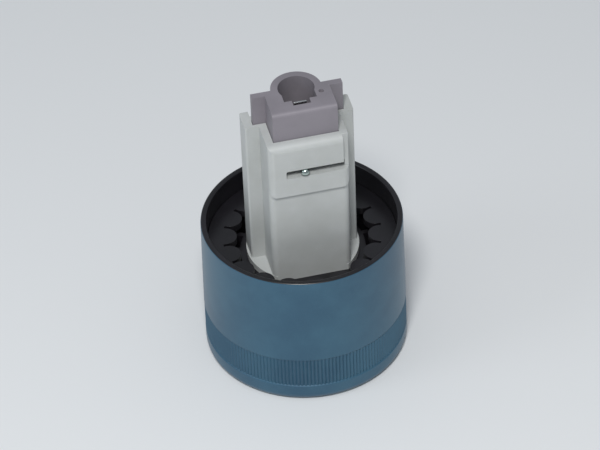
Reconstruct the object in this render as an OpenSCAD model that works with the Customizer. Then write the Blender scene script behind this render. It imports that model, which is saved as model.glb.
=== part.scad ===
// Push-to-retract control knob for a cooker, lying on its front face with the shaft side up.
// The origin is the centre of the front face. +Z runs along the shaft, away from that face.
// The slotted side of the mechanism housing faces -Y. All sizes are millimetres.
// The slider stands where the latch holds it, pushed in.

/* [Skirt] */
// Outer diameter at the rim
skirt_d = 46; // [40:0.5:56]
// Height from the front face to the rim
skirt_h = 35.4; // [33:0.2:42]
// Wall of the skirt
skirt_wall = 1.35; // [1:0.05:2.4]
// Thickness of the front face
face_t = 2.2; // [1.4:0.1:4]
// How much wider the skirt is above the knurl than at the rim
skirt_flare = 0.7; // [0:0.1:1.6]
// Rounding of the rim's two edges
rim_round = 0.45; // [0.2:0.05:0.6]
// Height of the smooth bead round the face
bead_h = 4.5; // [3:0.1:7]
// Rounding of the bead towards the face
bead_round = 2; // [0.8:0.1:2.8]
// Height of the knurled band
knurl_h = 7.8; // [4:0.1:12]
// Depth of the knurl's grooves
knurl_depth = 0.32; // [0.1:0.02:0.5]
// How far the tips of the ridges lie below the skirt above them
knurl_sink = 0.05; // [0.01:0.01:0.2]
// Number of ridges in the knurl
knurl_count = 170; // [90:2:200]

/* [Inner carrier] */
// Distance of the carrier's ledge below the rim
ledge_drop = 5.4; // [3:0.1:8]
// Width of the ledge between its scallops
ledge_w = 3.4; // [2.4:0.1:4.4]
// Radius of the scallops on the ledge's inner edge
scallop_r = 2.75; // [1.5:0.05:3]
// Distance of the scallops' centres from the axis
scallop_at = 17.7; // [17:0.1:18.5]
// Turn of the ribs and scallops about the axis, in degrees
rib_turn = -4; // [-10:1:10]
// Outer wall of the carrier
carrier_wall = 1.5; // [1:0.1:2]
// Gap between the carrier and the skirt
carrier_gap = 0.1; // [0.05:0.01:0.3]
// Number of ribs between hub and wall
rib_count = 18; // [10:1:24]
// Thickness of a rib
rib_t = 1.1; // [0.8:0.1:1.6]
// Thickness of the ledge, which lies on the ribs
ledge_t = 1.8; // [1:0.1:2.6]
// Walls of the hub
hub_wall = 1.5; // [1:0.1:2]

/* [Mechanism housing] */
// Distance of the foot's underside below the rim
foot_drop = 9.4; // [8:0.1:11]
// How far the round foot stands out past the housing's corners
foot_margin = 0.03; // [0.01:0.01:0.6]
// Thickness of the foot
foot_t = 1.6; // [1:0.1:2.4]
// Height from the foot's underside to the top of the housing
housing_h = 39.6; // [37:0.2:44]
// Wall beside the slider
side_wall = 1.7; // [1:0.1:2.2]
// Wall in front of the slider
front_wall = 1.45; // [0.9:0.05:2]
// How far the slotted pad stands out of the front
pad_proud = 0.9; // [0.3:0.05:1.4]
// Height of the pad
pad_h = 14.1; // [11:0.1:18]
// Rounding of the pad's lower corner
pad_corner = 1.6; // [0.5:0.1:3]
// Rounding of the lip, the pad's upper front edge
lip_round = 1.7; // [0.4:0.1:2.2]
// Thin wall in front of a wing
wing_wall = 0.8; // [0.5:0.05:1.2]
// Wall outside the end of a wing
flange_wall = 2; // [1:0.1:2.2]
// Wall behind a wing
back_wall = 1.4; // [1:0.1:2]
// How far the housing's side walls reach behind the shaft axis
flange_back = 3.7; // [2.6:0.1:5]
// Wall round the back of the boss
boss_wall = 1.5; // [1:0.1:2.2]
// Rounding of the upright edges of the side walls
upright_round = 0.5; // [0.2:0.05:0.8]
// Rounding of the upright front edges
front_round = 1.5; // [0.5:0.1:1.7]
// Gap above and below the cam pin in its slot
slot_gap = 0.05; // [0.02:0.01:0.1]
// Rounding of the slot's corners
slot_corner = 0.4; // [0.2:0.05:0.6]
// Distance of the slot's middle below the top of the housing
slot_drop = 8.1; // [7:0.1:9]
// Reach of the slot to the left of the axis
slot_left = 5.3; // [3.6:0.1:6]
// Reach of the slot to the right of the axis
slot_right = 7.8; // [6.4:0.1:8.2]
// Depth of the loading channel at the slot's right end
channel_depth = 1.2; // [0.6:0.1:1.6]
// Outer radius of the spigot below the foot
spigot_r = 6.2; // [6:0.1:7]
// Length of the spigot
spigot_h = 8; // [5:0.5:12]
// Floor of the spring chamber
chamber_floor = 1.6; // [1:0.1:3]
// Gap between the spigot or the foot and the carrier
spigot_gap = 0.1; // [0.05:0.01:0.2]

/* [Slider] */
// Width of the block
slider_w = 14.7; // [13.4:0.1:15.2]
// Distance of the block's front from the shaft axis
slider_front = 8.35; // [8:0.05:8.8]
// Rise of the slider above the housing when it is latched
slider_rise = 7.4; // [5:0.1:10]
// Room left under the slider when the knob is pressed
press_room = 0.6; // [0.3:0.1:2]
// Outer radius of the round boss behind the shaft
boss_r = 5.7; // [5.2:0.05:6]
// Span over the two wings
wing_span = 20.6; // [19:0.1:22]
// Thickness of a wing
wing_t = 1.6; // [1:0.1:2]
// Distance of a wing's front from the shaft axis
wing_front = 1.1; // [0.6:0.05:1.6]
// Running gap between the slider and the housing
slide_gap = 0.1; // [0.05:0.01:0.15]
// Rounding of the block's upper front edge
slider_round = 0.9; // [0.2:0.1:1.4]
// Diameter of the dimple beside the socket
dimple_d = 1.2; // [0.6:0.1:1.4]
// Depth of the dimple
dimple_depth = 0.8; // [0.2:0.1:2]
// Place of the dimple to the right of the shaft axis
dimple_x = 5.1; // [5:0.1:6]
// Place of the dimple in front of the shaft axis
dimple_front = 2.6; // [1:0.1:4]

/* [Shaft socket] */
// Diameter of the socket's round back
socket_d = 8.2; // [7.4:0.1:8.6]
// Depth of the socket
socket_depth = 16; // [12:0.5:16]
// Gap between a shaft's round and the flat front of the socket
flat_gap = 0.1; // [0.05:0.01:0.4]
// Width of the flat front
flat_w = 7.4; // [6:0.1:7.6]
// Width of the clip's slot
clip_slot_w = 4; // [3.6:0.1:5]
// Width of the clip
clip_w = 2.9; // [2:0.1:3.2]
// How far the clip stands to the left of the slot's middle
clip_shift = 0.15; // [0:0.05:0.2]
// Thickness of the clip's steel strip
clip_t = 0.4; // [0.25:0.05:0.6]
// Room for the clip to bend into, behind its leaf
clip_room = 1.3; // [0.8:0.1:1.4]
// Gap between the clip and its slot
clip_gap = 0.05; // [0.02:0.01:0.1]
// Height of the clip's foot above the bottom of the socket
clip_rise = 1; // [0.2:0.1:3]
// Distance of the clip's top below the slider's top
clip_drop = 0.4; // [0.1:0.1:2]
// Height of the clip's turned-back end
clip_hook = 5.5; // [2:0.5:9]
// Floor between the socket and the spring's pocket
socket_floor = 2; // [1:0.1:4]

/* [Latch] */
// Diameter of the round-nosed cam pin
pin_d = 2; // [1.8:0.05:2.1]
// Gap on each side of the pin in its track
track_gap = 0.15; // [0.08:0.01:0.3]
// Depth of the track's legs
track_depth = 1; // [0.7:0.05:1.1]
// Extra depth of the latch seat
seat_step = 0.35; // [0.15:0.05:0.4]
// Gap between the pin's inner end and the floor of the legs
pin_end_gap = 0.1; // [0.05:0.01:0.2]
// How far the pin's nose stands out of the slot
nose_proud = 0.7; // [0.2:0.05:0.9]
// Place of the latched pin across the housing
seat_x = -1; // [-2:0.1:0]
// Travel of the slider from latched to fully out
travel_out = 20; // [14:0.5:20.5]
// Travel past the latch when the knob is pressed
overtravel = 1.8; // [1:0.1:1.8]
// How far the pin moves across over the whole travel
pin_shift = 4.5; // [3:0.1:5]
// Length of the track beyond the pin at each end of its run
track_room = 0.2; // [0.1:0.05:0.4]
// Distance of the push-in leg to the left of the latch seat
push_leg = 2.6; // [2.5:0.1:3]
// Reach of the track's arch to the right of the latch seat
arch_reach = 2.2; // [2:0.1:2.8]

/* [Return spring] */
// Wire of the spring
spring_wire = 0.9; // [0.6:0.05:1]
// Outer diameter of the spring
spring_d = 7.6; // [6.6:0.1:7.8]
// Coils of the spring, with the closed ones at its ends
spring_coils = 19; // [12:1:22]
// Gap between the spring and the holes it stands in
spring_gap = 0.3; // [0.2:0.05:0.5]

/* [Hidden] */
$fn = 96;
eps = 0.01;

// Skirt
rim_r = skirt_d / 2;
flare_r = rim_r + skirt_flare / 2;
bore_r = rim_r - skirt_wall;
knurl_top = bead_h + knurl_h;
knurl_core = flare_r - knurl_sink - knurl_depth - 0.15;
knurl_overlap = 0.3;

// Levels of the mechanism
foot_z = skirt_h - foot_drop;
housing_top = foot_z + housing_h;
cavity_z = foot_z + foot_t;
slider_top = housing_top + slider_rise;
slider_bottom = cavity_z + overtravel + press_room;
slot_h = pin_d + 2 * slot_gap;
slot_z = housing_top - slot_drop;
pad_z = housing_top - pad_h;

// Carrier
carrier_r = bore_r - carrier_gap;
ledge_z = skirt_h - ledge_drop;
rib_top = ledge_z - ledge_t;
tube_in = spigot_r + spigot_gap;
shelf_t = hub_wall;

// Slider and its guides, seen along the shaft
block_half = slider_w / 2;
wing_half = wing_span / 2;
wing_back = wing_t - wing_front;
guide_half = block_half + slide_gap;
guide_front = slider_front + slide_gap;
block_side = guide_half + side_wall;
face_y = guide_front + front_wall;
pad_y = face_y + pad_proud;
flange_half = wing_half + slide_gap + flange_wall;
flange_front = wing_front + slide_gap + wing_wall;
wing_slot_back = wing_back + slide_gap;
boss_guide = boss_r + slide_gap;
back_r = boss_guide + boss_wall;
side_corner = norm([flange_half - upright_round, flange_back - upright_round]) + upright_round;
front_corner = norm([block_side - front_round, face_y - front_round]) + front_round;
foot_r = max(side_corner, front_corner) + foot_margin;
shelf_r = foot_r + hub_wall;

// Socket and clip
socket_r = socket_d / 2;
socket_flat = socket_r + flat_gap;
socket_z = slider_top - socket_depth;
clip_slot_back = socket_flat + clip_t + clip_room;
clip_z = socket_z + clip_rise;
clip_top = slider_top - clip_drop;

// Latch track, seen from the front, with the latched pin at the middle of its seat
track_w = pin_d + 2 * track_gap;
arch = overtravel + track_room;
seat = [seat_x, 0];
start = pop_out_place(travel_out + track_room);
apex = pop_out_place(-arch);
left_apex = [seat_x - push_leg, arch];
left_foot = [seat_x - push_leg, -0.56 * travel_out];
left_turn = pop_out_place(0.86 * travel_out);
right_apex = [seat_x + arch_reach, arch];
right_foot = pop_out_place(0.4 * travel_out);
pin_inner = slider_front - track_depth + pin_end_gap;
pin_nose = pad_y + nose_proud;

// Spring
chamber_z = foot_z - spigot_h + chamber_floor;
spring_room_r = spring_d / 2 + spring_gap;
pocket_top = socket_z - socket_floor;
spring_h = pocket_top - chamber_z;

// Where the pin stands on the slider's front when the slider is out by the given travel
function pop_out_place(travel) = [seat_x + pin_shift / travel_out * travel, -travel];

// A rectangle with true round corners
module soft_rect(x0, y0, x1, y1, r) {
    translate([x0 + r, y0])
        square([x1 - x0 - 2 * r, y1 - y0]);
    translate([x0, y0 + r])
        square([x1 - x0, y1 - y0 - 2 * r]);
    for (x = [x0 + r, x1 - r], y = [y0 + r, y1 - r])
        translate([x, y])
            circle(r);
}

// What is cut off an edge along X at front y and top z to round it
module edge_cutter(half, y, z, r) {
    translate([-half, 0, 0])
        rotate([90, 0, 90])
            linear_extrude(2 * half)
                difference() {
                    translate([y - 1, z - r])
                        square([r + 1, r + 1]);
                    translate([y + r, z - r])
                        circle(r);
                }
}

// Outline of the ridges, one point on each tip and one in each groove
function knurl_points(tip, depth, count) = [
    for (i = [0:2 * count - 1])
        let (r = (i % 2 == 0) ? tip : tip - depth, a = 180 * i / count)
            [r * cos(a), r * sin(a)]
];

module skirt_profile() {
    difference() {
        union() {
            translate([0, bead_round])
                square([flare_r, bead_h - bead_round]);
            square([flare_r - bead_round, bead_h]);
            translate([flare_r - bead_round, bead_round])
                circle(bead_round);
            translate([0, bead_h - eps])
                square([knurl_core, knurl_h + 2 * eps]);
            polygon([
                [0, knurl_top], [flare_r, knurl_top],
                [rim_r, skirt_h - rim_round], [rim_r - rim_round, skirt_h], [0, skirt_h]
            ]);
            translate([rim_r - rim_round, skirt_h - rim_round])
                circle(rim_round);
        }
        translate([-1, face_t])
            square([bore_r + 1, skirt_h]);
        translate([-2 * skirt_d, -1])
            square([2 * skirt_d, skirt_h + 2]);
        difference() {
            translate([bore_r - eps, skirt_h - rim_round])
                square([rim_round + eps, rim_round + 1]);
            translate([bore_r + rim_round, skirt_h - rim_round])
                circle(rim_round);
        }
    }
}

module knob_shell() {
    color([0.26, 0.42, 0.5]) {
        rotate_extrude()
            skirt_profile();
        translate([0, 0, bead_h])
            linear_extrude(knurl_h)
                difference() {
                    polygon(knurl_points(flare_r - knurl_sink, knurl_depth, knurl_count));
                    circle(knurl_core - knurl_overlap);
                }
    }
}

module annulus(r_out, r_in) {
    difference() {
        circle(r_out);
        circle(r_in);
    }
}

// Repeats its children once for each rib
module round_the_ribs() {
    for (i = [0:rib_count - 1])
        rotate(rib_turn - 90 + 360 * i / rib_count)
            children();
}

// One level of the carrier: the outer wall, and the ribs that reach inwards from it
module carrier_level(z0, z1, wall, rib_in) {
    translate([0, 0, z0])
        linear_extrude(z1 - z0) {
            annulus(carrier_r, carrier_r - wall);
            round_the_ribs()
                translate([rib_in, -rib_t / 2])
                    square([carrier_r - wall / 2 - rib_in, rib_t]);
            children();
        }
}

module inner_carrier() {
    tube_out = tube_in + hub_wall;
    shelf_z = foot_z - shelf_t;
    rib_in = tube_out - hub_wall / 2;
    color([0.07, 0.06, 0.07]) {
        carrier_level(face_t, shelf_z, carrier_wall, rib_in)
            annulus(tube_out, tube_in);
        carrier_level(shelf_z, foot_z, carrier_wall, rib_in)
            annulus(shelf_r, tube_in);
        carrier_level(foot_z, rib_top, carrier_wall, scallop_at - scallop_r / 2);
        carrier_level(rib_top, ledge_z, ledge_w, scallop_at)
            round_the_ribs()
                translate([scallop_at, 0])
                    circle(scallop_r);
    }
}

// The slider's outline seen along the shaft, grown by gap for its guides
module slider_plan(gap) {
    translate([-block_half - gap, -slider_front - gap])
        square([slider_w + 2 * gap, slider_front + wing_back + 2 * gap]);
    translate([-wing_half - gap, -wing_front - gap])
        square([wing_span + 2 * gap, wing_t + 2 * gap]);
    circle(boss_r + gap);
}

// The front block, out to the given distance in front of the axis
module front_plan(reach) {
    soft_rect(-block_side, -reach, block_side, flange_back, front_round);
}

module housing_plan() {
    soft_rect(-flange_half, -flange_front, flange_half, flange_back, upright_round);
    front_plan(face_y);
    circle(back_r);
}

// The foot is round, with a flat where the front face comes down
module foot_plan() {
    intersection() {
        circle(foot_r);
        translate([-foot_r, -face_y])
            square([2 * foot_r, 2 * foot_r + face_y]);
    }
}

module pad() {
    intersection() {
        rotate([90, 0, 0])
            linear_extrude(pad_y)
                soft_rect(-block_side, pad_z, block_side, housing_top + 2 * pad_corner, pad_corner);
        translate([0, 0, pad_z])
            linear_extrude(pad_h)
                front_plan(pad_y);
    }
}

// Open recesses behind the wings, beside the round back
module rear_recesses() {
    half = flange_half - flange_wall;
    difference() {
        translate([-half, wing_slot_back + back_wall, cavity_z])
            cube([2 * half, flange_back, housing_h]);
        cylinder(h = 2 * housing_top, r = back_r);
    }
}

// The slot for the cam pin, and the channel through which the pin is loaded from above
module pin_slot() {
    low = slot_z - slot_h / 2;
    rotate([90, 0, 0])
        linear_extrude(pad_y + 1)
            soft_rect(-slot_left, low, slot_right + slot_corner, low + slot_h, slot_corner);
    translate([slot_right, -pad_y - 1, low])
        cube([block_side, channel_depth + 1, housing_h]);
}

module mechanism_housing() {
    color([0.72, 0.76, 0.77])
        difference() {
            union() {
                intersection() {
                    union() {
                        translate([0, 0, foot_z])
                            linear_extrude(housing_h)
                                housing_plan();
                        pad();
                    }
                    translate([-skirt_d, -skirt_d, foot_z])
                        cube([2 * skirt_d, 2 * skirt_d, housing_h]);
                }
                translate([0, 0, foot_z])
                    linear_extrude(foot_t)
                        foot_plan();
                translate([0, 0, foot_z - spigot_h])
                    cylinder(h = spigot_h + eps, r = spigot_r);
            }
            translate([0, 0, cavity_z])
                linear_extrude(housing_h)
                    slider_plan(slide_gap);
            translate([0, 0, chamber_z])
                cylinder(h = housing_h, r = spring_room_r);
            rear_recesses();
            pin_slot();
            edge_cutter(skirt_d, -pad_y, housing_top, lip_round);
        }
}

// A leg of the track between two points, in the plane of the slider's front
module leg(a, b) {
    d = b - a;
    translate(a)
        rotate(atan2(d[1], d[0]))
            translate([0, -track_w / 2])
                square([norm(d), track_w]);
    translate(a)
        circle(track_w / 2);
    translate(b)
        circle(track_w / 2);
}

module track_plan() {
    leg(start, apex);
    leg(left_turn, left_foot);
    leg(left_foot, left_apex);
    leg(left_apex, right_apex);
    leg(right_apex, right_foot);
}

// Cuts a plan drawn on the slider's front to the given depth
module cut_front(depth) {
    translate([0, -slider_front + depth, slot_z])
        rotate([90, 0, 0])
            linear_extrude(depth + 1)
                children();
}

module slider() {
    color([0.47, 0.44, 0.47])
        difference() {
            translate([0, 0, slider_bottom])
                linear_extrude(slider_top - slider_bottom)
                    slider_plan(0);
            translate([0, 0, socket_z])
                cylinder(h = socket_depth + 1, r = socket_r);
            translate([-flat_w / 2, -socket_flat, socket_z])
                cube([flat_w, socket_flat, socket_depth + 1]);
            translate([-clip_slot_w / 2, -clip_slot_back, clip_z])
                cube([clip_slot_w, clip_slot_back, socket_depth]);
            translate([0, 0, slider_bottom - 1])
                cylinder(h = pocket_top - slider_bottom + 1, r = spring_room_r);
            cut_front(track_depth)
                track_plan();
            cut_front(track_depth + seat_step)
                translate(seat)
                    circle(track_w / 2);
            translate([dimple_x, -dimple_front, slider_top - dimple_depth])
                cylinder(h = dimple_depth + 1, d = dimple_d);
            edge_cutter(block_half + 1, -slider_front, slider_top, slider_round);
        }
}

// A leaf against the socket's flat, turned back at its foot
module shaft_clip() {
    leaf = socket_flat + clip_gap;
    color([0.78, 0.78, 0.76])
        translate([-clip_w / 2 - clip_shift, 0, 0]) {
            translate([0, -leaf - clip_t, clip_z])
                cube([clip_w, clip_t, clip_top - clip_z]);
            translate([0, -clip_slot_back + clip_gap, clip_z])
                cube([clip_w, clip_slot_back - clip_gap - leaf, clip_t]);
            translate([0, -clip_slot_back + clip_gap, clip_z])
                cube([clip_w, clip_t, clip_hook]);
        }
}

// Height of the wire's middle at turn t, with one closed coil at each end
function coil_z(t) =
    let (
        low = spring_wire / 2,
        pitch = (spring_h - 3 * spring_wire) / (spring_coils - 2)
    )
    t < 1 ? low + spring_wire * t :
    t > spring_coils - 1 ? spring_h - low - spring_wire * (spring_coils - t) :
    low + spring_wire + pitch * (t - 1);

module compression_spring() {
    sides = 6;
    steps = 16;
    rings = steps * spring_coils;
    mean_r = (spring_d - spring_wire) / 2;
    wire_r = spring_wire / 2;
    points = [
        for (i = [0:rings], s = [0:sides - 1])
            let (a = 360 * i / steps, b = 360 * s / sides, r = mean_r + wire_r * cos(b))
                [r * cos(a), r * sin(a), coil_z(i / steps) + wire_r * sin(b)]
    ];
    walls = [
        for (i = [0:rings - 1], s = [0:sides - 1])
            let (n = (s + 1) % sides)
                [i * sides + s, i * sides + n, (i + 1) * sides + n, (i + 1) * sides + s]
    ];
    first = [for (s = [0:sides - 1]) sides - 1 - s];
    last = [for (s = [0:sides - 1]) rings * sides + s];
    color([0.7, 0.7, 0.68])
        translate([0, 0, chamber_z])
            polyhedron(points, concat([first], walls, [last]), convexity = 20);
}

// A round-nosed pin that reaches from the front of the slot into the track
module cam_pin() {
    r = pin_d / 2;
    color([0.55, 0.6, 0.58])
        translate([seat_x, 0, slot_z])
            rotate([90, 0, 0]) {
                translate([0, 0, pin_inner])
                    cylinder(h = pin_nose - r - pin_inner, r = r);
                translate([0, 0, pin_nose - r])
                    sphere(r);
            }
}

knob_shell();
inner_carrier();
mechanism_housing();
slider();
shaft_clip();
compression_spring();
cam_pin();
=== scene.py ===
# %% [markdown]
# # A push-to-retract control knob for a cooker
# The knob lies on its front face. Out of its painted skirt stands the latch mechanism: a white
# housing, and in it the grey slider that carries the shaft socket. The solids come from the CAD
# frame. This lesson gives them their finish: rounded edges, paint, plastic and steel.

# %% Load the frame
import bmesh
import bpy
import math
from mathutils import Matrix, Vector


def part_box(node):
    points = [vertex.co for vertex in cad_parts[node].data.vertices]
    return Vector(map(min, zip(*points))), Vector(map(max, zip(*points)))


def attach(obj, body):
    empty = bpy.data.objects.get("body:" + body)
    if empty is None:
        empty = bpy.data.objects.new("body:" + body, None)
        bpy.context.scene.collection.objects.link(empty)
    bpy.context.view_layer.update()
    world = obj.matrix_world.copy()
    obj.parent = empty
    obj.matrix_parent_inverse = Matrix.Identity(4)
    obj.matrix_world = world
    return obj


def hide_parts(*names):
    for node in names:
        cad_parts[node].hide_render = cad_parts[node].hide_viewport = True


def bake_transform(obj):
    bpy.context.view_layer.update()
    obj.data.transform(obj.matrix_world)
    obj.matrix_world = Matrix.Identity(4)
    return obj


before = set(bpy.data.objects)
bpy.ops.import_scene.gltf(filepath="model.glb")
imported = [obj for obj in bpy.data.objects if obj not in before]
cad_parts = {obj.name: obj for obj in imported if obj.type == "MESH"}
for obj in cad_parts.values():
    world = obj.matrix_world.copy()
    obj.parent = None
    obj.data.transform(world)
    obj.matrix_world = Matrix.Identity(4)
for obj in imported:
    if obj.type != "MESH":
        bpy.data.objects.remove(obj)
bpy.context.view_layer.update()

MM = 0.001
scene = bpy.context.scene

# %% [markdown]
# ## The camera
# A camera can be placed by eye, or worked out from the picture. Here the round rim and the round
# base show as two ellipses, and their shapes fix the height, the distance and the lens. The roll
# is small, but without it every upright edge would lean the wrong way.

# %% Place the camera
PHOTO_WIDTH_PX = 600
FOCAL_PX = 3692.2
DISTANCE = 837.5 * MM
ELEVATION = math.radians(41.04)
AZIMUTH = math.radians(-12.07)
ROLL = math.radians(-2.54)
AIM_HEIGHT = 35 * MM
SHIFT_RIGHT = -0.38 * MM
SHIFT_UP = -1.60 * MM


def turned_axes(azimuth, elevation, roll):
    """The camera's right, up and backward axes, as seen from a turn round Z and a height."""
    back = Vector((
        math.sin(azimuth) * math.cos(elevation),
        -math.cos(azimuth) * math.cos(elevation),
        math.sin(elevation),
    ))
    right = Vector((math.cos(azimuth), math.sin(azimuth), 0))
    up = back.cross(right)
    rolled_right = right * math.cos(roll) + up * math.sin(roll)
    rolled_up = up * math.cos(roll) - right * math.sin(roll)
    return rolled_right, rolled_up, back


right, up, back = turned_axes(AZIMUTH, ELEVATION, ROLL)
aim = Vector((0, 0, AIM_HEIGHT)) + right * SHIFT_RIGHT + up * SHIFT_UP
camera_data = bpy.data.cameras.new("camera")
camera_data.lens = camera_data.sensor_width * FOCAL_PX / PHOTO_WIDTH_PX
camera = bpy.data.objects.new("camera", camera_data)
camera_turn = Matrix((right, up, back)).transposed().to_4x4()
camera.matrix_world = Matrix.Translation(aim + back * DISTANCE) @ camera_turn
scene.collection.objects.link(camera)
scene.camera = camera
print("lens, mm:", round(camera_data.lens, 1))

# %% [markdown]
# ## The studio
# A plain pale floor and a soft sky fill the shadows. One large lamp near the camera gives the
# broad band of light down the middle of the skirt, and a low one at the left cools the side of
# the white housing. The levels stay near one, so that a colour renders about as it is written.

# %% Build the floor, the sky and the lamps
FLOOR_SIZE = 3.0
FLOOR_COLOUR = (0.78, 0.79, 0.79, 1)
SKY_COLOUR = (0.86, 0.92, 1.0, 1)
SKY_STRENGTH = 0.38
KEY_PLACE = aim + back * 0.7 + up * 0.18 - right * 0.05
KEY_WATTS = 3.4
KEY_SIZE = 0.16
SIDE_PLACE = (-0.6, -0.1, 0.35)
SIDE_WATTS = 0.5
SIDE_SIZE = 0.3
SIDE_COLOUR = (0.85, 0.93, 1.0)


def node_material(name):
    """A new material with its node tree, and the tree's Principled BSDF."""
    material = bpy.data.materials.new(name)
    material.use_nodes = True
    return material, material.node_tree, material.node_tree.nodes["Principled BSDF"]


def area_lamp(name, place, size, watts, colour=(1, 1, 1)):
    """A round lamp at a place that looks at the middle of the knob."""
    data = bpy.data.lights.new(name, "AREA")
    data.shape = "DISK"
    data.size = size
    data.energy = watts
    data.color = colour
    lamp = bpy.data.objects.new(name, data)
    direction = Vector((0, 0, AIM_HEIGHT)) - Vector(place)
    lamp.location = place
    lamp.rotation_euler = direction.to_track_quat("-Z", "Y").to_euler()
    scene.collection.objects.link(lamp)


bm = bmesh.new()
bmesh.ops.create_grid(bm, x_segments=1, y_segments=1, size=FLOOR_SIZE / 2)
floor_mesh = bpy.data.meshes.new("floor")
bm.to_mesh(floor_mesh)
bm.free()
floor = bpy.data.objects.new("floor", floor_mesh)
scene.collection.objects.link(floor)
floor_paper, _, shader = node_material("floor_paper")
shader.inputs["Base Color"].default_value = FLOOR_COLOUR
shader.inputs["Roughness"].default_value = 0.8
floor_mesh.materials.append(floor_paper)

world = bpy.data.worlds.new("sky")
world.use_nodes = True
sky = world.node_tree.nodes["Background"]
sky.inputs["Color"].default_value = SKY_COLOUR
sky.inputs["Strength"].default_value = SKY_STRENGTH
scene.world = world
scene.view_settings.view_transform = "Standard"

area_lamp("key", KEY_PLACE, KEY_SIZE, KEY_WATTS)
area_lamp("side", SIDE_PLACE, SIDE_SIZE, SIDE_WATTS, SIDE_COLOUR)

# %% [markdown]
# ## Effects that several finishes share
# Moulded plastic, paint and steel share fine grain, slow changes of tone and specks of dust.
# Each effect is a node group with named inputs, made once and placed in each material with its
# own values. A group only hands out masks, colours and normals: the shader stays outside.

# %% Build the shared node groups
def node_group(name, inputs, outputs):
    """An empty shader node group with the named sockets: the tree, its start and its end."""
    group = bpy.data.node_groups.new(name, "ShaderNodeTree")
    for label, kind, value in inputs:
        socket = group.interface.new_socket(name=label, in_out="INPUT", socket_type=kind)
        if value is not None:
            socket.default_value = value
    for label, kind in outputs:
        group.interface.new_socket(name=label, in_out="OUTPUT", socket_type=kind)
    return group, group.nodes.new("NodeGroupInput"), group.nodes.new("NodeGroupOutput")


def add(tree, kind, links=(), **values):
    """A node of that kind, its input values set by name or number, its inputs linked."""
    node = tree.nodes.new("ShaderNode" + kind)
    for key, value in values.items():
        if hasattr(node, key):
            setattr(node, key, value)
        else:
            node.inputs[key.replace("_", " ")].default_value = value
    for source, target in links:
        tree.links.new(source, node.inputs[target])
    return node


def ramp(tree, source, low, high):
    """A mask that goes from 0 at low to 1 at high."""
    node = add(tree, "MapRange", [(source, "Value")], interpolation_type="SMOOTHSTEP")
    node.inputs["From Min"].default_value = low
    node.inputs["From Max"].default_value = high
    return node.outputs["Result"]


# Slow change of tone: a wide noise with a finer one on it
tone, tone_in, tone_out = node_group(
    "slow_tone",
    [("Vector", "NodeSocketVector", None), ("Scale", "NodeSocketFloat", 60.0)],
    [("Mask", "NodeSocketFloat")],
)
wide = add(
    tone, "TexNoise",
    [(tone_in.outputs["Vector"], "Vector"), (tone_in.outputs["Scale"], "Scale")],
    Detail=4.0, Roughness=0.6,
)
tone.links.new(ramp(tone, wide.outputs["Fac"], 0.35, 0.65), tone_out.inputs["Mask"])

# Fine grain: the height of a moulded or sprayed surface
grain, grain_in, grain_out = node_group(
    "fine_grain",
    [("Vector", "NodeSocketVector", None), ("Scale", "NodeSocketFloat", 4000.0)],
    [("Height", "NodeSocketFloat"), ("Mask", "NodeSocketFloat")],
)
fine = add(
    grain, "TexNoise",
    [(grain_in.outputs["Vector"], "Vector"), (grain_in.outputs["Scale"], "Scale")],
    Detail=3.0, Roughness=0.7,
)
grain.links.new(fine.outputs["Fac"], grain_out.inputs["Height"])
grain.links.new(ramp(grain, fine.outputs["Fac"], 0.55, 0.7), grain_out.inputs["Mask"])

# Dust: a few light specks, each a cell of a coarse pattern with a random size
dust, dust_in, dust_out = node_group(
    "dust_specks",
    [
        ("Vector", "NodeSocketVector", None),
        ("Scale", "NodeSocketFloat", 900.0),
        ("Amount", "NodeSocketFloat", 0.1),
    ],
    [("Mask", "NodeSocketFloat")],
)
cells = add(
    dust, "TexVoronoi",
    [(dust_in.outputs["Vector"], "Vector"), (dust_in.outputs["Scale"], "Scale")],
)
spread = add(dust, "TexNoise", [(dust_in.outputs["Vector"], "Vector")], Scale=300.0, Detail=2.0)
size = add(dust, "Math", [(spread.outputs["Fac"], 0), (dust_in.outputs["Amount"], 1)], operation="MULTIPLY")
near = add(dust, "Math", [(cells.outputs["Distance"], 0), (size.outputs[0], 1)], operation="LESS_THAN")
dust.links.new(near.outputs[0], dust_out.inputs["Mask"])
print("groups:", [g.name for g in bpy.data.node_groups])

# %% [markdown]
# ## The finishes
# A finish starts from one colour and is broken up where the real one is: the paint by its metal
# flakes, the plastic by slow tone and grain, the steel by its drawing marks. The colour goes
# through a mix of two near tones, and the height of the grain feeds a Bump node.

# %% Make a helper that places a group in a material
def place(tree, group, **values):
    """The group as a node in a material, fed with object coordinates."""
    node = tree.nodes.new("ShaderNodeGroup")
    node.node_tree = group
    coords = tree.nodes.get("coords") or add(tree, "TexCoord")
    coords.name = "coords"
    tree.links.new(coords.outputs["Object"], node.inputs["Vector"])
    for key, value in values.items():
        node.inputs[key].default_value = value
    return node


def mix_colour(tree, mask, colour_a, colour_b):
    """A colour between two, by a mask. Each colour is a value or a socket."""
    node = tree.nodes.new("ShaderNodeMix")
    node.data_type = "RGBA"
    tree.links.new(mask, node.inputs["Factor"])
    for socket, colour in (("A", colour_a), ("B", colour_b)):
        target = [i for i in node.inputs if i.name == socket and i.type == "RGBA"][0]
        if isinstance(colour, bpy.types.NodeSocket):
            tree.links.new(colour, target)
        else:
            target.default_value = (*colour, 1)
    return [o for o in node.outputs if o.type == "RGBA"][0]


def bump(tree, shader, height, strength, distance):
    """A Bump node between a height and the shader's normal."""
    node = add(tree, "Bump", [(height, "Height")], Strength=strength, Distance=distance)
    tree.links.new(node.outputs["Normal"], shader.inputs["Normal"])


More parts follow.
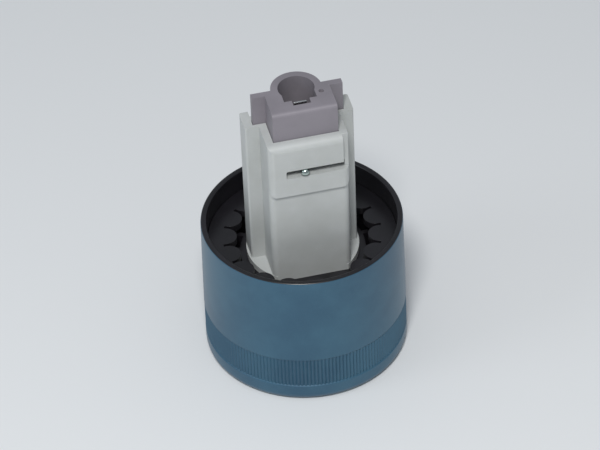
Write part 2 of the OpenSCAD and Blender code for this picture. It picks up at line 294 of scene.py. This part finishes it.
def plastic(name, light, dark, rough, grain_scale=5000.0, grain_depth=0.00001, tone_scale=70.0, dusty=0.08):
    """Moulded plastic in two near tones, with grain and a little dust."""
    material, tree, shader = node_material(name)
    tones = place(tree, tone, Scale=tone_scale)
    specks = place(tree, dust, Amount=dusty)
    skin = place(tree, grain, Scale=grain_scale)
    body = mix_colour(tree, tones.outputs["Mask"], dark, light)
    dusted = mix_colour(tree, specks.outputs["Mask"], body, tuple(min(1, c * 1.25 + 0.05) for c in light))
    tree.links.new(dusted, shader.inputs["Base Color"])
    shader.inputs["Roughness"].default_value = rough
    bump(tree, shader, skin.outputs["Height"], 0.3, grain_depth)
    return material, shader


# %% Paint with metal flakes
PAINT_LIGHT = (0.035, 0.115, 0.18)
PAINT_DARK = (0.022, 0.085, 0.145)
FLAKE_COLOUR = (0.06, 0.16, 0.235)
skirt_paint, tree, shader = node_material("skirt_paint")
tones = place(tree, tone, Scale=45.0)
flakes = place(tree, grain, Scale=9000.0)
base = mix_colour(tree, tones.outputs["Mask"], PAINT_DARK, PAINT_LIGHT)
sparkle = mix_colour(tree, flakes.outputs["Mask"], base, FLAKE_COLOUR)
tree.links.new(sparkle, shader.inputs["Base Color"])
shader.inputs["Metallic"].default_value = 0.2
shader.inputs["Roughness"].default_value = 0.46
shader.inputs["Coat Weight"].default_value = 0.25
shader.inputs["Coat Roughness"].default_value = 0.2
bump(tree, shader, flakes.outputs["Height"], 0.25, 0.00001)

# %% Plastics
carrier_black, _ = plastic("carrier_black", (0.012, 0.011, 0.014), (0.007, 0.0065, 0.008), 0.3)
housing_white, shader = plastic("housing_white", (0.5, 0.515, 0.505), (0.45, 0.465, 0.45), 0.42)
shader.inputs["Subsurface Weight"].default_value = 0.15
shader.inputs["Subsurface Radius"].default_value = (0.002, 0.002, 0.0016)
slider_grey, _ = plastic("slider_grey", (0.24, 0.22, 0.245), (0.2, 0.185, 0.205), 0.5)

# %% Steels
def steel(name, colour, rough, scale):
    """Drawn steel: its colour darkens a little in fine marks, whose height feeds a Bump node."""
    material, tree, shader = node_material(name)
    marks = place(tree, grain, Scale=scale)
    shade = mix_colour(tree, marks.outputs["Mask"], colour, tuple(c * 0.7 for c in colour))
    tree.links.new(shade, shader.inputs["Base Color"])
    shader.inputs["Metallic"].default_value = 1.0
    shader.inputs["Roughness"].default_value = rough
    bump(tree, shader, marks.outputs["Height"], 0.2, 0.000005)
    return material


clip_steel = steel("clip_steel", (0.75, 0.75, 0.74), 0.22, 3000.0)
spring_steel = steel("spring_steel", (0.55, 0.55, 0.53), 0.35, 3000.0)
pin_steel = steel("pin_steel", (0.42, 0.5, 0.47), 0.16, 2500.0)
print("materials:", [m.name for m in bpy.data.materials])

# %% [markdown]
# ## Turning meshes into pieces
# Every new piece ends the same way: its mesh is shaded smooth up to a chosen angle, its normals
# are weighted by area so that flat faces stay flat beside their rounded edges, and it rides on
# the body that it belongs to.

# %% Make the helper that finishes a piece
SMOOTH_ANGLE = math.radians(38)


def finish_piece(bm, name, material, body, slot, *stands_for, inner=None):
    """Writes a bmesh to an object on a body. Faces of material 1 take the inner material."""
    mesh = bpy.data.meshes.new(name)
    bm.to_mesh(mesh)
    bm.free()
    mesh.materials.append(material)
    if inner:
        mesh.materials.append(inner)
    mesh.shade_smooth()
    mesh.set_sharp_from_angle(angle=SMOOTH_ANGLE)
    piece = bpy.data.objects.new(name, mesh)
    scene.collection.objects.link(piece)
    weighted = piece.modifiers.new("flat_faces", "WEIGHTED_NORMAL")
    weighted.keep_sharp = True
    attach(piece, body)
    if stands_for:
        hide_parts(*stands_for)
    print(name, "faces:", len(mesh.polygons))


# %% [markdown]
# ## The skirt
# The skirt is a turned shape, so half of its section, spun once round, gives the whole wall. The
# corners of the section are rounded first, while they are single points. The knurl is then
# pressed in: four points to a ridge, moved inwards by a wave that runs round the skirt. Only
# the outside is painted: the faces inside the rim keep the black of the moulding.

# %% Spin the skirt's section
_, skirt_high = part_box("knob_shell")
SKIRT_H = skirt_high[2]
FLARE_R = 23.35 * MM
RIM_R = 23.0 * MM
BORE_R = 21.65 * MM
FACE_T = 2.2 * MM
BEAD_H = 4.5 * MM
KNURL_H = 7.8 * MM
KNURL_DEPTH = 0.32 * MM
KNURL_COUNT = 170
POINTS_PER_RIDGE = 4
BAND_R = FLARE_R - 0.05 * MM
PAINT_EDGE_R = RIM_R - 0.12 * MM
CLOSE = 1e-6


def rounded_wire(corners):
    """A wire through (r, z, rounding) corners in the XZ plane, each corner rounded by a bevel."""
    bm = bmesh.new()
    verts = [bm.verts.new((r, 0, z)) for r, z, _ in corners]
    for a, b in zip(verts, verts[1:]):
        bm.edges.new((a, b))
    for vert, (_, _, rounding) in zip(verts, corners):
        if rounding:
            bmesh.ops.bevel(
                bm, geom=[vert], offset=rounding, segments=5, profile=0.5,
                affect="VERTICES", material=-1, clamp_overlap=True,
            )
    return bm


knurl_top = BEAD_H + KNURL_H
section = [
    (0, FACE_T, 0),
    (BORE_R, FACE_T, 0.4 * MM),
    (BORE_R, SKIRT_H, 0.45 * MM),
    (RIM_R, SKIRT_H, 0.45 * MM),
    (FLARE_R, knurl_top + 0.15 * MM, 0.1 * MM),
    (FLARE_R - 0.15 * MM, knurl_top, 0),
    (BAND_R, knurl_top - 0.15 * MM, 0),
    (BAND_R, BEAD_H + 0.15 * MM, 0),
    (FLARE_R - 0.15 * MM, BEAD_H, 0.0),
    (FLARE_R, BEAD_H - 0.15 * MM, 0.1 * MM),
    (FLARE_R, 0, 2.0 * MM),
    (0, 0, 0),
]
bm = rounded_wire(section)
bmesh.ops.spin(
    bm, geom=bm.verts[:] + bm.edges[:], cent=(0, 0, 0), axis=(0, 0, 1), dvec=(0, 0, 0),
    angle=2 * math.pi, steps=KNURL_COUNT * POINTS_PER_RIDGE, use_merge=True,
)
bmesh.ops.remove_doubles(bm, verts=bm.verts, dist=CLOSE)
for vert in bm.verts:
    radius = math.hypot(vert.co.x, vert.co.y)
    in_band = BEAD_H + 0.1 * MM < vert.co.z < knurl_top - 0.1 * MM
    if in_band and radius > BAND_R - CLOSE:
        turn = math.atan2(vert.co.y, vert.co.x) * KNURL_COUNT
        depth = KNURL_DEPTH * (0.5 - 0.5 * math.cos(turn))
        vert.co.xy *= (radius - depth) / radius
for face in bm.faces:
    middle = face.calc_center_median()
    inside = math.hypot(middle.x, middle.y) < PAINT_EDGE_R and middle.z > FACE_T / 2
    face.material_index = 1 if inside else 0
bmesh.ops.recalc_face_normals(bm, faces=bm.faces)
finish_piece(
    bm, "painted_skirt", skirt_paint, "knob_body", "skirt_paint", "knob_shell",
    inner=carrier_black,
)

# %% [markdown]
# ## The moulded pieces
# The carrier, the housing and the slider keep the CAD's shape. Their CAD meshes are loose
# triangles, so a copy is merged, its flat faces are joined again, and every sharp edge is given
# the small radius that a mould leaves. That radius is what catches the light.

# %% Round the edges of the moulded pieces
def rounded_copy(node, radius, segments=3, sharp=math.radians(28)):
    """A merged copy of a CAD node's mesh with its sharp edges rounded."""
    bm = bmesh.new()
    bm.from_mesh(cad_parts[node].data)
    bmesh.ops.remove_doubles(bm, verts=bm.verts, dist=CLOSE)
    bmesh.ops.dissolve_limit(bm, angle_limit=math.radians(0.3), verts=bm.verts, edges=bm.edges)
    edges = [e for e in bm.edges if len(e.link_faces) == 2 and e.calc_face_angle() > sharp]
    bmesh.ops.bevel(
        bm, geom=edges, offset=radius, offset_type="OFFSET", segments=segments, profile=0.5,
        affect="EDGES", material=-1, clamp_overlap=True,
    )
    return bm


finish_piece(
    rounded_copy("inner_carrier", 0.15 * MM), "black_carrier", carrier_black,
    "knob_body", "carrier_black", "inner_carrier",
)
finish_piece(
    rounded_copy("mechanism_housing", 0.18 * MM), "white_housing", housing_white,
    "knob_body", "housing_white", "mechanism_housing",
)
finish_piece(
    rounded_copy("slider", 0.18 * MM), "grey_slider", slider_grey,
    "slider_body", "slider_grey", "slider",
)
finish_piece(
    rounded_copy("shaft_clip", 0.05 * MM), "clip_strip", clip_steel,
    "slider_body", "clip_steel", "shaft_clip",
)
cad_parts["cam_pin"].data.materials.clear()
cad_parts["cam_pin"].data.materials.append(pin_steel)

# %% [markdown]
# ## The return spring
# The spring stands on the housing's floor and pushes on the slider, so one end stays while the
# other travels. Here its CAD mesh is merged into a smooth-shaded copy in spring steel, which
# takes the CAD node's place; the copy rides on no body and keeps its one length.

# %% Copy the spring in its own steel
bm = bmesh.new()
bm.from_mesh(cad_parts["compression_spring"].data)
bmesh.ops.remove_doubles(bm, verts=bm.verts, dist=CLOSE)
spring_mesh = bpy.data.meshes.new("return_spring")
bm.to_mesh(spring_mesh)
bm.free()
spring_mesh.materials.append(spring_steel)
spring_mesh.shade_smooth()
spring = bpy.data.objects.new("return_spring", spring_mesh)
scene.collection.objects.link(spring)
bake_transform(spring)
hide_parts("compression_spring")
